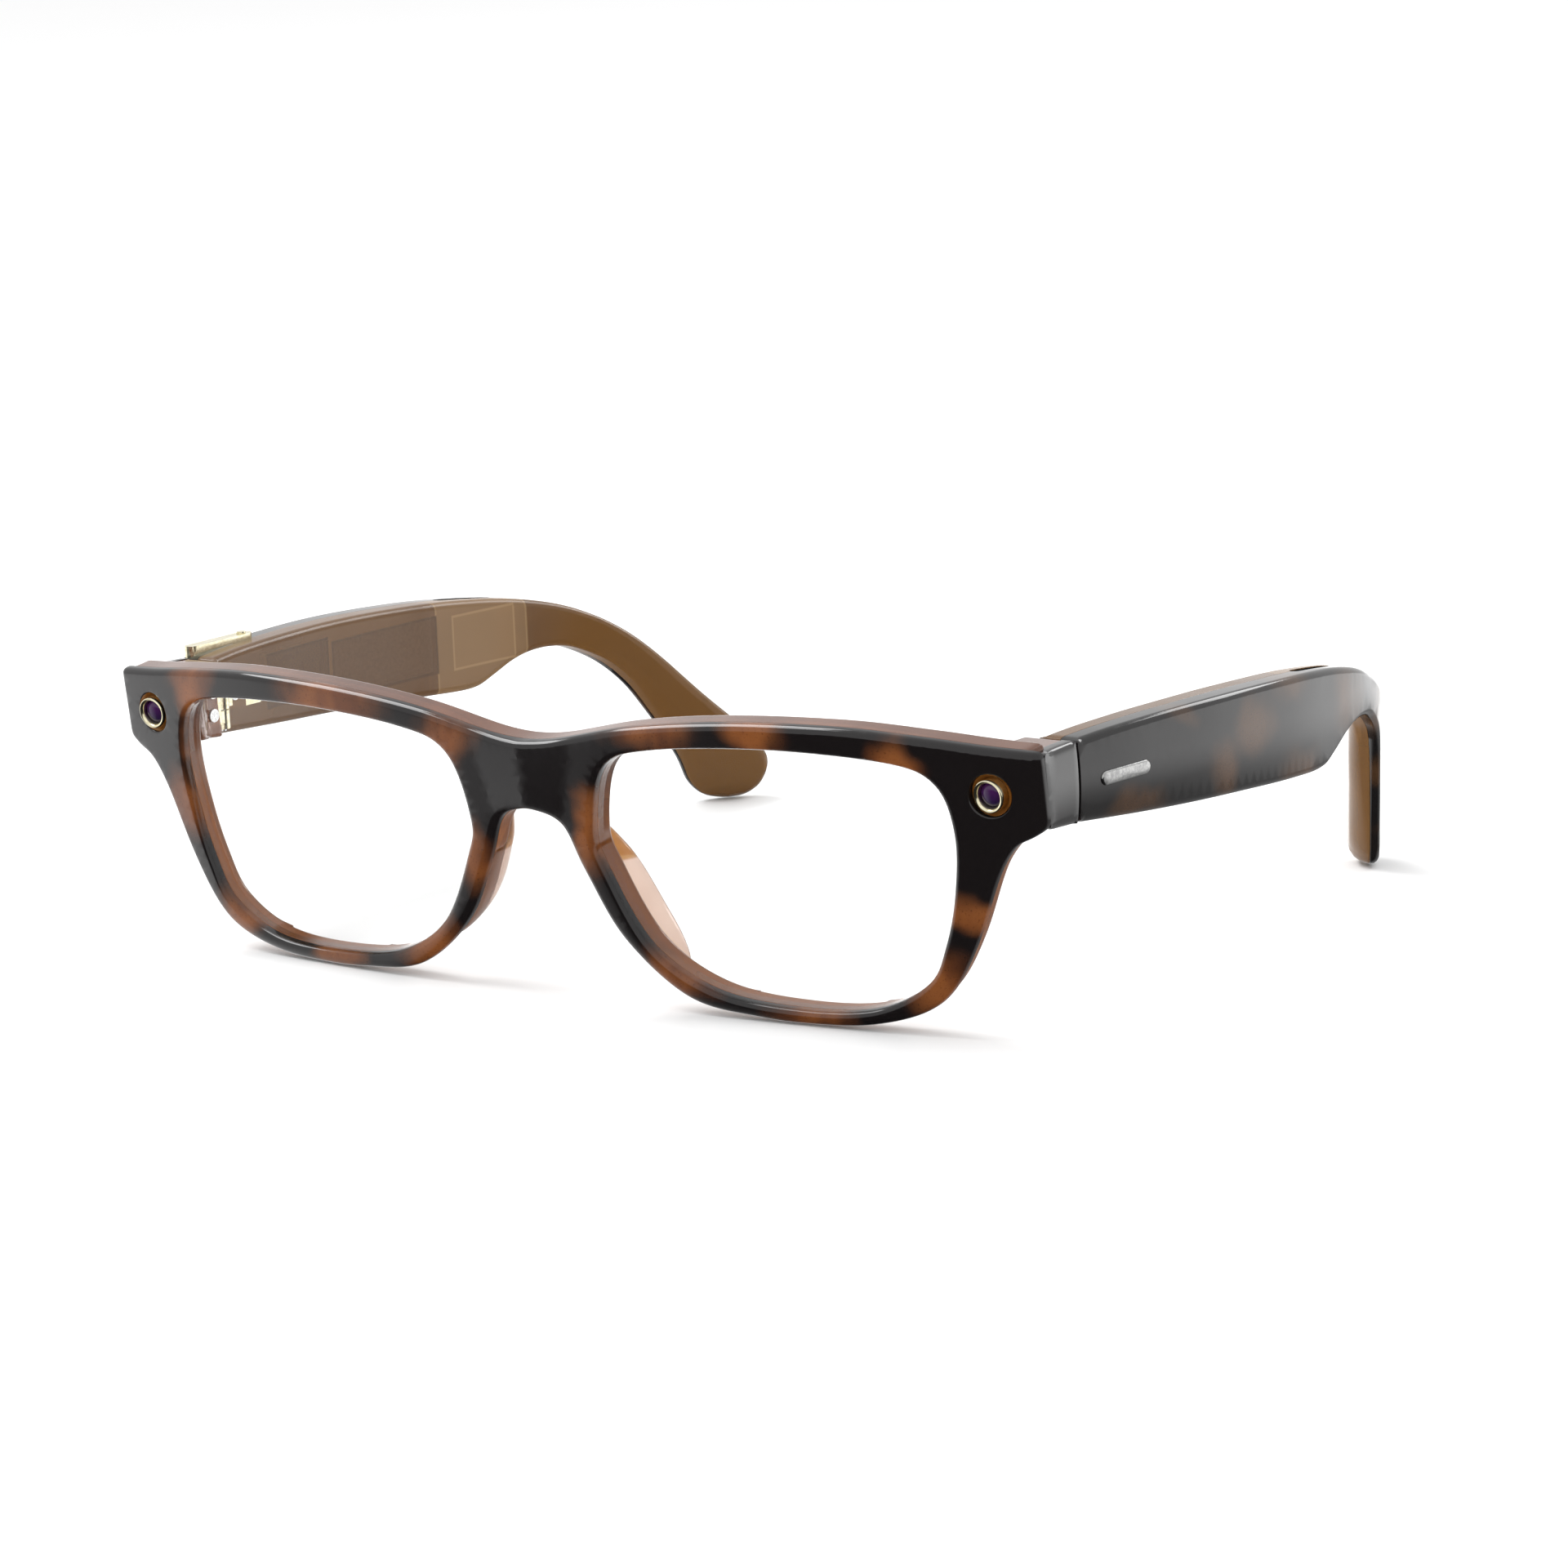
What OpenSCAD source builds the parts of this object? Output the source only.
// Smart glasses: a laminated frame with two folding, electronics-filled temples.
// X runs across the face (+X is the wearer's left), Y runs back towards the ears, Z is up.
// The glasses stand on the lowest points of the rims and on both temple tips.

/* [Front] */
// Half of the overall width at the end pieces
half_width = 69.4; // [68.6:0.2:70.2]
// How far the end pieces curve back from the bridge
wrap_depth = 7.3; // [6.5:0.1:8]
// Lean of the front, top forward, in degrees
front_tilt = 7.3; // [6.5:0.1:8]
// Height of the middle of the front above the resting surface
front_z = 16.5; // [16.5:0.05:17]
// Thickness of the front layer
front_layer_t = 1.4; // [1.2:0.1:1.8]
// Thickness of the back layer
back_layer_t = 3.2; // [3:0.1:3.4]

/* [Lenses] */
// Lens thickness
lens_t = 1.6; // [1.4:0.1:1.8]
// Depth of the lens groove into the rim
groove_depth = 0.7; // [0.5:0.1:0.8]
// Distance of the lens front behind the front face
lens_set_back = 1.2; // [1:0.1:1.5]

/* [Camera and LED] */
// Distance of the camera and the LED from the centre
ring_x = 63.3; // [62.8:0.1:63.8]
// Height of the camera and the LED on the front
ring_v = 12.5; // [12:0.1:12.8]
// Radius of the hole in the front layer
port_r = 2.55; // [2.3:0.05:2.7]
// Outer radius of the metal bezel
bezel_r = 2.0; // [1.8:0.05:2.1]

/* [Temples] */
// Gap between end piece and temple
seam_gap = 0.4; // [0.3:0.05:0.6]
// Wall thickness of the temple shells above and below the electronics
shell_wall = 1.4; // [1.2:0.1:1.8]

/* [Hinges] */
// Radius of the hinge barrel
barrel_r = 1.1; // [1:0.05:1.2]
// Radius of the hinge pin
pin_r = 0.6; // [0.5:0.05:0.7]

/* [Controls] */
// Length of the capture button
button_len = 12.2; // [11:0.2:13]
// Width of the capture button
button_w = 1.8; // [1.6:0.1:2]
// Travel of the power switch
switch_travel = 1.5; // [1:0.1:1.6]

/* [Hidden] */
$fn = 48;

fit = 0.05;
seam_y = 15;
temple_y = seam_y + seam_gap;
frame_t = front_layer_t + back_layer_t;
skin_t = 1.4;
// The rear edges of the rims step in by this much, over this depth
rear_inset = 0.8;
rear_step = 1.4;
far = 60;

// Upper edge of the front, from the middle outwards, as [x, height on the front]
top_edge = [[0, 15.6], [5, 16.1], [16.5, 18.5], [30, 19.85], [44.4, 20], [55.2, 19.1],
    [63, 18.1], [half_width, 17.4]];
// Lower edge, from the end piece round the rim and up to the bridge
low_edge = [[half_width, 8.4], [67.5, 7.2], [65.2, 6], [62.8, 2.3], [59.6, -5.4], [56, -11.5],
    [51.9, -14.6], [45, -16.4], [37.6, -16.8], [30, -16.5], [20.4, -14.9], [12, -8.3], [7.3, -0.1],
    [4.6, 5.6], [0, 7.2]];
// Lens opening of the wearer's left eye, anticlockwise from the nose
lens_edge = [[9.3, 5.1], [10.4, 0.5], [15.6, -8.7], [24, -13.6], [35.1, -15], [45.7, -14.4],
    [53, -10.9], [55.8, -5.9], [57.6, 0.5], [58.3, 7.8], [56.5, 13.6], [50.6, 16], [35.1, 16.9],
    [19, 15.8], [11.8, 13.1]];

// Outer face of the left temple seen from above, as [x, y]
temple_plan = [[68.4, temple_y], [69.9, 28], [70.9, 43], [70.4, 59], [68.6, 73], [66.5, 83],
    [63.1, 93], [57.9, 102], [50.6, 113]];
// Temple thickness along its length, as [y, thickness]
temple_thick = [[temple_y, 5.6], [30, 6.1], [45, 6.3], [60, 6.1], [75, 5.3], [90, 4.6], [113, 4.1]];
// Upper and rear edge of the temple seen from the side, as [y, z]
temple_top = [[temple_y, 34.5], [22, 34.9], [32, 35.1], [44, 35], [56, 34.5], [66, 33.8],
    [76, 32.6], [84, 30.9], [90, 28.7], [95.5, 25.4], [100.5, 20.7], [105.3, 15.2], [110, 10],
    [112.8, 6], [112.5, 2.6], [110.8, 0.5], [108.4, 0]];
// Lower and front edge of the temple back to the seam
temple_low = [[106, 0.6], [104.2, 2.8], [103.2, 6], [101.5, 9.6], [99.2, 13.8], [96.6, 17.9],
    [93, 21.4], [88, 24], [84, 24.8], [80.2, 24.7], [76.8, 23.9], [73, 22.4], [69, 21.3], [60, 21.7],
    [47, 22.6], [32, 23.5], [22, 24.2], [temple_y, 24.7]];
// How far the electronics space reaches along the temple
cavity_end = 86;

// Hinge axis of the left temple and the heights of the hinge
hinge_x = 62.4;
hinge_y = seam_y + barrel_r + 0.2;
hinge_z = [25.6, 28, 28.15, 30.65, 30.8, 33.2];

// Distance from the front to the middle of the footprint, where the origin lies
depth_centre = 55.4;

// ---- curves ----
function spline(a, b, c, d, t) = 0.5 * (2 * b + (c - a) * t + (2 * a - 5 * b + 4 * c - d) * t * t
    + (3 * b - a - 3 * c + d) * t * t * t);
function smooth_open(p, n) = let (m = len(p) - 1) concat(
    [for (i = [0:m - 1], j = [0:n - 1])
        spline(p[max(i - 1, 0)], p[i], p[i + 1], p[min(i + 2, m)], j / n)], [p[m]]);
function smooth_loop(p, n) = let (m = len(p)) [for (i = [0:m - 1], j = [0:n - 1])
    spline(p[(i + m - 1) % m], p[i], p[(i + 1) % m], p[(i + 2) % m], j / n)];
function reversed(p) = [for (i = [len(p) - 1:-1:0]) p[i]];
function mirrored(p) = [for (q = p) [-q.x, q.y]];
// Moves each point of an anticlockwise loop outwards by d
function grown(p, d) = let (m = len(p)) [for (i = [0:m - 1])
    let (t = p[(i + 1) % m] - p[(i + m - 1) % m]) p[i] + d * [t.y, -t.x] / norm(t)];

// Depth of the front face behind the bridge
function wrap(x) = wrap_depth * pow(abs(x) / half_width, 2.7);

half_outline = concat(smooth_open(top_edge, 4), smooth_open(low_edge, 4));
front_outline = concat(reversed(half_outline), mirrored(half_outline));
lens_outline = smooth_loop(lens_edge, 6);
temple_side = concat(smooth_open(temple_top, 4), smooth_open(temple_low, 4));
temple_curve = smooth_open(temple_plan, 4);

// ---- shared solids ----
// Places things drawn on the leaning front: x across, y depth, z up the front
module on_front() translate([0, 0, front_z]) rotate([front_tilt, 0, 0]) children();

// Slab between two depths behind the curved front face
module wrap_slab(d0, d1) {
    xs = [for (i = [-24:24]) i * (half_width + 3) / 24];
    linear_extrude(far, center = true)
        polygon(concat([for (x = xs) [x, wrap(x) + d0]],
            reversed([for (x = xs) [x, wrap(x) + d1]])));
}

// Prism through the front with an outline drawn as seen from the front
module face_prism(outline) rotate([90, 0, 0]) linear_extrude(far, center = true) polygon(outline);

// Prism across the object with an outline drawn as seen from the side
module side_prism(outline) rotate([90, 0, 90]) linear_extrude(2 * half_width + 20, center = true)
    polygon(outline);

// Slice of the temple between two fractions of its thickness, 0 outside and 1 inside
module temple_slab(f0, f1) {
    m = len(temple_curve) - 1;
    function edge(f) = [for (i = [0:m]) let (
        t = temple_curve[min(i + 1, m)] - temple_curve[max(i - 1, 0)],
        p = temple_curve[i])
        p + f * lookup(p.y, temple_thick) * [-t.y, t.x] / norm(t)];
    linear_extrude(far) polygon(concat(edge(f0), reversed(edge(f1))));
}

// Brings the origin to the middle of the footprint
module placed() translate([0, -depth_centre, 0]) children();

// Box between two corners
module span(a, b) translate(a) cube(b - a);

// One side's copy of a thing drawn for the wearer's left
module side(s) mirror([s < 0 ? 1 : 0, 0, 0]) children();

// ---- front ----
// End piece between the front and the seam, solid
module end_piece_block() {
    outer = half_width;
    intersection() {
        linear_extrude(far) polygon([[57.5, 5], [58.8, 9], [61.2, 12.6], [61.2, seam_y],
            [outer - 1, seam_y], [outer, 6.4], [outer, 0], [57.5, 0]]);
        side_prism([[-3, 26], [-3, 34.2], [4, 34.6], [seam_y, 34.5], [seam_y, 24.7], [8, 25],
            [0, 25.6]]);
        on_front() wrap_slab(front_layer_t - 0.4, far / 2);
    }
}

// Region of the end piece that lies inside its front-layer skin
module end_piece_core() {
    inner = half_width - skin_t;
    linear_extrude(far) polygon([[50, -10], [50, seam_y + 5], [inner - 1, seam_y + 5],
        [inner - 1, seam_y], [inner, 6.4], [inner, -10]]);
}

module lens_holes() for (m = [0, 1]) mirror([m, 0, 0]) face_prism(lens_outline);

module lens_grooves() for (m = [0, 1]) mirror([m, 0, 0]) intersection() {
    face_prism(grown(lens_outline, groove_depth + fit));
    wrap_slab(lens_set_back - fit, lens_set_back + lens_t + fit);
}

module at_ring(s, depth) translate([s * ring_x, wrap(ring_x) + depth, ring_v]) rotate([-90, 0, 0])
    children();

// Part of the front between two depths, short of the end pieces' skin
module layer(outline, d0, d1) intersection() {
    face_prism(outline);
    wrap_slab(d0, d1);
    cube([2 * (half_width - skin_t), far, far], center = true);
}

module front_frame() color([0.16, 0.10, 0.08]) {
    difference() {
        union() {
            on_front() intersection() {
                face_prism(front_outline);
                wrap_slab(0, front_layer_t);
            }
            for (s = [-1, 1]) side(s) difference() {
                end_piece_block();
                end_piece_core();
            }
        }
        on_front() {
            lens_holes();
            lens_grooves();
            for (s = [-1, 1]) at_ring(s, -3) cylinder(r = port_r, h = 4 + front_layer_t);
        }
    }
}

module frame_back() color([0.49, 0.35, 0.30]) {
    difference() {
        union() {
            on_front() {
                layer(front_outline, front_layer_t, frame_t - rear_step);
                layer(grown(front_outline, -rear_inset), front_layer_t, frame_t);
            }
            for (s = [-1, 1]) side(s) difference() {
                intersection() {
                    end_piece_block();
                    end_piece_core();
                }
                on_front() wrap_slab(-5, front_layer_t);
            }
        }
        on_front() {
            lens_holes();
            lens_grooves();
            for (s = [-1, 1]) at_ring(s, front_layer_t - 1) cylinder(r = 2.3, h = 6);
            flex_strip(fit);
            translate([0, frame_t - 0.9, 11.2]) for (x = [-3, 0, 3]) translate([x, 0, 0])
                rotate([-90, 0, 0]) cylinder(r = 0.85, h = 3);
            translate([0, frame_t - 1.2, 8.8]) rotate([-90, 0, 0]) cylinder(r = 0.65, h = 4);
        }
        for (s = [-1, 1]) side(s) {
            hinge_leaf_plate(fit);
            front_screw_holes();
        }
    }
}

module lens(s) color([0.85, 0.9, 0.92, 0.35]) on_front() side(s) intersection() {
    face_prism(grown(lens_outline, groove_depth));
    wrap_slab(lens_set_back, lens_set_back + lens_t);
}

// Snap-on pad behind the nose side of the rim
module nose_pad(s) color([0.80, 0.62, 0.52, 0.8]) on_front() side(s) hull() {
    for (p = [[7.4, 2.9], [8.1, -0.2], [11, -5.3], [14.9, -10.6]])
        translate([p.x, frame_t + wrap(p.x) + 0.06, p.y]) rotate([-90, 0, 0])
            cylinder(r = 0.8, h = 0.4, $fn = 24);
    for (p = [[8.2, 1.6], [9.4, -1.6], [12, -5.8], [14.8, -9.4]])
        translate([p.x, frame_t + 1.2, p.y]) sphere(r = 0.8, $fn = 24);
}

// Metal ring that sits in the port, with its opening flared
module bezel(s) color("goldenrod") on_front() at_ring(s, -0.35) difference() {
    cylinder(r = bezel_r, h = 2.1);
    translate([0, 0, -1]) cylinder(r = 1.4, h = 5);
    translate([0, 0, -0.01]) cylinder(r1 = 1.75, r2 = 1.4, h = 0.5);
}

module window(s) on_front() at_ring(s, 0.25) cylinder(r = 1.35, h = 0.9);

module camera_window() color([0.16, 0.08, 0.26]) window(1);

module led_window() color([0.16, 0.08, 0.26]) window(-1);

module camera_module() color("dimgray") on_front() at_ring(1, 1.85) {
    cylinder(r = 1.9, h = 1.6);
    translate([0, 0, 1.5]) cylinder(r = 2.2, h = 2.9);
}

module led_board() color("seagreen") on_front() at_ring(-1, 1.85) {
    cylinder(r = 1.2, h = 1.6);
    translate([0, 0, 1.5]) cylinder(r = 2.2, h = 0.8);
}

// Flexible circuit that runs along the brow between the two layers
module flex_strip(clear) intersection() {
    face_prism(concat(
        reversed([for (p = half_outline) if (p.x < ring_x - 3.4 && p.y > 12) p - [0, 0.9 - clear]]),
        mirrored([for (p = half_outline) if (p.x < ring_x - 3.4 && p.y > 12) p - [0, 0.9 - clear]]),
        reversed(mirrored([for (p = half_outline) if (p.x < ring_x - 3.4 && p.y > 12)
            p - [0, 1.9 + clear]])),
        [for (p = half_outline) if (p.x < ring_x - 3.4 && p.y > 12) p - [0, 1.9 + clear]]));
    wrap_slab(front_layer_t - clear, front_layer_t + 0.3 + clear);
}

module front_flex() color("darkorange") on_front() difference() {
    flex_strip(0);
    wrap_slab(-5, front_layer_t + 0.02);
}

module charge_contacts() color("gold") on_front() translate([0, frame_t - 0.85, 11.2])
    for (x = [-3, 0, 3]) translate([x, 0, 0]) rotate([-90, 0, 0]) cylinder(r = 0.8, h = 0.95);

module nose_microphone() color("black") on_front() translate([0, frame_t - 1.15, 8.8])
    rotate([-90, 0, 0]) cylinder(r = 0.6, h = 1.05);

// ---- hinge ----
module barrel(z0, z1) translate([hinge_x, hinge_y, z0]) cylinder(r = barrel_r, h = z1 - z0);

module pin_bore() translate([hinge_x, hinge_y, 20]) cylinder(r = pin_r + 0.04, h = 20);

// Leaf let into the inner side of the end piece; clear widens the pocket for it
module hinge_leaf_plate(clear) span([61.2 - clear, 11.6 - clear, 26.4 - clear],
    [62.4 + clear, seam_y + 0.6, 32.4 + clear]);

module front_screw_holes() for (z = [27.9, 30.9]) translate([60, 13.2, z]) rotate([0, 90, 0])
    cylinder(r = 0.55, h = 5.6);

module hinge_front(s) color("goldenrod") side(s) difference() {
    union() {
        intersection() {
            hinge_leaf_plate(0);
            span([0, 0, 0], [80, seam_y, 60]);
        }
        for (i = [0, 4]) {
            barrel(hinge_z[i], hinge_z[i + 1]);
            span([61.4, seam_y - 1.5, max(hinge_z[i], 26.4)],
                [hinge_x, hinge_y, min(hinge_z[i + 1], 32.4)]);
        }
    }
    pin_bore();
    front_screw_holes();
}

module hinge_pin(s) color("silver") side(s) translate([hinge_x, hinge_y, 0]) {
    translate([0, 0, hinge_z[0] - 0.3]) cylinder(r = pin_r, h = hinge_z[5] - hinge_z[0] + 0.5);
    translate([0, 0, hinge_z[5] + 0.1]) cylinder(r = 0.95, h = 0.4);
}

module screw() {
    cylinder(r = 0.5, h = 4);
    translate([0, 0, -0.45]) cylinder(r = 0.85, h = 0.45);
}

module hinge_screws_front() color("silver") for (s = [-1, 1]) side(s) for (z = [27.9, 30.9])
    translate([61.15, 13.2, z]) rotate([0, 90, 0]) screw();

module temple_leaf_plate(clear) span([63.4 - clear, 18 - clear, 27.4 - clear],
    [64.5 + clear, 25.2 + clear, 31.4 + clear]);

module temple_leaf_web(clear) span([hinge_x, hinge_y, hinge_z[2] - clear],
    [64.5 + clear, 18.6, hinge_z[3] + clear]);

module temple_screw_holes() for (y = [20, 23.2]) translate([62.4, y, 29.4]) rotate([0, 90, 0]) {
    cylinder(r = 0.55, h = 4.4);
    cylinder(r = 0.95, h = 1);
}

module hinge_temple(s) color("goldenrod") side(s) difference() {
    union() {
        temple_leaf_plate(0);
        barrel(hinge_z[2], hinge_z[3]);
        temple_leaf_web(0);
    }
    pin_bore();
    temple_screw_holes();
}

module hinge_screws_temple(s) color("silver") side(s) for (y = [20, 23.2])
    translate([63.35, y, 29.4]) rotate([0, 90, 0]) {
        cylinder(r = 0.5, h = 2.6);
        translate([0, 0, -0.3]) cylinder(r = 0.85, h = 0.3);
    }

// ---- temples ----
// Space for the electronics between the shells, from y0 to y1
module cavity(f0, f1, y0 = 26, y1 = cavity_end) intersection() {
    temple_slab(f0, f1);
    side_prism(grown(temple_side, shell_wall));
    span([0, y0, 0], [80, y1, 50]);
}

// Something that follows the temple's curve inside the cavity, between heights z0 and z1
module curved_block(f0, f1, y0, y1, z0, z1) intersection() {
    temple_slab(f0, f1);
    span([0, y0, z0], [80, y1, z1]);
}

module hinge_clearance() {
    translate([hinge_x, hinge_y, hinge_z[0] - 0.8]) cylinder(r = barrel_r + 0.35, h = 9.4);
    temple_leaf_plate(fit);
    temple_leaf_web(fit);
    temple_screw_holes();
}

module grille_slot(clear) intersection() {
    temple_slab(0.36 - clear / 6, 0.64 + clear / 6);
    side_prism([[65 - clear, 32.9 - clear], [65 - clear, 36.5], [76 + clear, 36.5],
        [76 + clear, 31.6 - clear]]);
}

module temple_outer(s) color([0.11, 0.09, 0.09]) side(s) difference() {
    intersection() {
        temple_slab(0, 0.5);
        side_prism(temple_side);
    }
    cavity(0.2, 0.52);
    grille_slot(fit);
    hinge_clearance();
    emblem_pocket();
    if (s < 0) button_slot();
}

module temple_inner(s) color([0.42, 0.32, 0.22, 0.9]) side(s) difference() {
    intersection() {
        temple_slab(0.5, 1);
        side_prism(temple_side);
    }
    cavity(0.48, 0.8);
    grille_slot(fit);
    hinge_clearance();
    if (s < 0) button_slot();
    if (s > 0) switch_pocket();
}

module emblem_outline(clear) side_prism([for (a = [0:15:345])
    [23.4 + (a < 90 || a > 270 ? 3.4 : -3.4) + (1.1 + clear) * cos(a),
        29.3 + (1.1 + clear) * sin(a)]]);

module emblem_pocket() intersection() {
    temple_slab(-0.05, 0.06);
    emblem_outline(fit);
}

module emblem(s) color("silver") side(s) intersection() {
    temple_slab(-0.02, 0.055);
    emblem_outline(0);
}

module battery(s) color("lightsteelblue") side(s) curved_block(0.27, 0.73, 41, 62, 24.8, 32.3);

module board(s) color("seagreen") side(s) curved_block(0.4, 0.58, 27, 40, 26.1, 32.8);

module speaker(s) color("dimgray") side(s) curved_block(0.27, 0.73, 64, 74.5, 24.9, 30.7);

module speaker_grille(s) color("black") side(s) intersection() {
    grille_slot(0);
    side_prism(temple_side);
}

module antenna_left() color("orange") side(1) curved_block(0.3, 0.36, 28, 40, 26, 33);

module microphones(s) color("black") side(s) {
    span([67.2, 36.1, 24.9], [68.6, 38.9, 25.8]);
    curved_block(0.35, 0.65, 79, 81.5, 27, 28.4);
}

module touch_sensor() color("orange") side(-1) curved_block(0.225, 0.25, 28, 61, 26, 32.3);

// ---- controls ----
button_y = [15.7, 15.7 + button_len];
button_x = 67.4;

// Bar with round ends, seen from above
module button_bar(w, z0, z1) {
    span([button_x - w / 2, button_y[0] + button_w / 2, z0],
        [button_x + w / 2, button_y[1] - button_w / 2, z1]);
    for (y = [button_y[0] + button_w / 2, button_y[1] - button_w / 2])
        translate([button_x, y, z0]) cylinder(r = w / 2, h = z1 - z0);
}

module button_slot() {
    button_bar(button_w + 0.24, 33.1, 40);
    span([button_x - 1.4, 19.4, 31.2], [button_x + 1.4, 25.2, 33.2]);
}

module capture_button() color("gold") side(-1) {
    button_bar(button_w, 33.5, 35.8);
    translate([button_x, 22.3, 32.8]) cylinder(r = 0.8, h = 0.8);
    translate([button_x, button_y[1] - 1.6, 35.7]) cylinder(r = 0.6, h = 0.35);
}

module button_switch() color("black") side(-1)
    span([button_x - 1.3, 19.6, 31.3], [button_x + 1.3, 25, 32.4]);

switch_y = 31;
switch_z = 29.2;

module switch_pocket() {
    span([63, switch_y - 2 - fit, switch_z - 1.1], [65.7, switch_y + 2 + switch_travel + 0.2,
        switch_z + 1.1]);
}

module power_switch() color("black") {
    span([63.8, switch_y - 1.8, switch_z - 0.9], [64.9, switch_y + 1.8, switch_z + 0.9]);
    for (i = [-1:1]) span([63.55, switch_y + i - 0.2, switch_z - 0.9],
        [63.85, switch_y + i + 0.2, switch_z + 0.9]);
}

module power_switch_base() color("dimgray")
    span([65, switch_y - 1.9, switch_z - 1], [65.6, switch_y + 3.5, switch_z + 1]);

placed() front_frame();
placed() frame_back();
placed() lens(1);  // lens_left
placed() lens(-1);  // lens_right
placed() nose_pad(1);  // nose_pad_left
placed() nose_pad(-1);  // nose_pad_right
placed() bezel(1);  // camera_bezel
placed() camera_window();
placed() camera_module();
placed() bezel(-1);  // led_bezel
placed() led_window();
placed() led_board();
placed() front_flex();
placed() charge_contacts();
placed() nose_microphone();
placed() hinge_front(1);  // hinge_front_left
placed() hinge_front(-1);  // hinge_front_right
placed() hinge_pin(1);  // hinge_pin_left
placed() hinge_pin(-1);  // hinge_pin_right
placed() hinge_screws_front();
placed() temple_outer(1);  // temple_outer_left
placed() temple_inner(1);  // temple_inner_left
placed() hinge_temple(1);  // hinge_temple_left
placed() battery(1);  // battery_left
placed() board(1);  // board_left
placed() speaker(1);  // speaker_left
placed() speaker_grille(1);  // speaker_grille_left
placed() antenna_left();
placed() microphones(1);  // microphones_left
placed() emblem(1);  // emblem_left
placed() hinge_screws_temple(1);  // hinge_screws_left
placed() power_switch();
placed() power_switch_base();
placed() temple_outer(-1);  // temple_outer_right
placed() temple_inner(-1);  // temple_inner_right
placed() hinge_temple(-1);  // hinge_temple_right
placed() battery(-1);  // battery_right
placed() board(-1);  // board_right
placed() speaker(-1);  // speaker_right
placed() speaker_grille(-1);  // speaker_grille_right
placed() touch_sensor();
placed() microphones(-1);  // microphones_right
placed() emblem(-1);  // emblem_right
placed() hinge_screws_temple(-1);  // hinge_screws_right
placed() capture_button();
placed() button_switch();
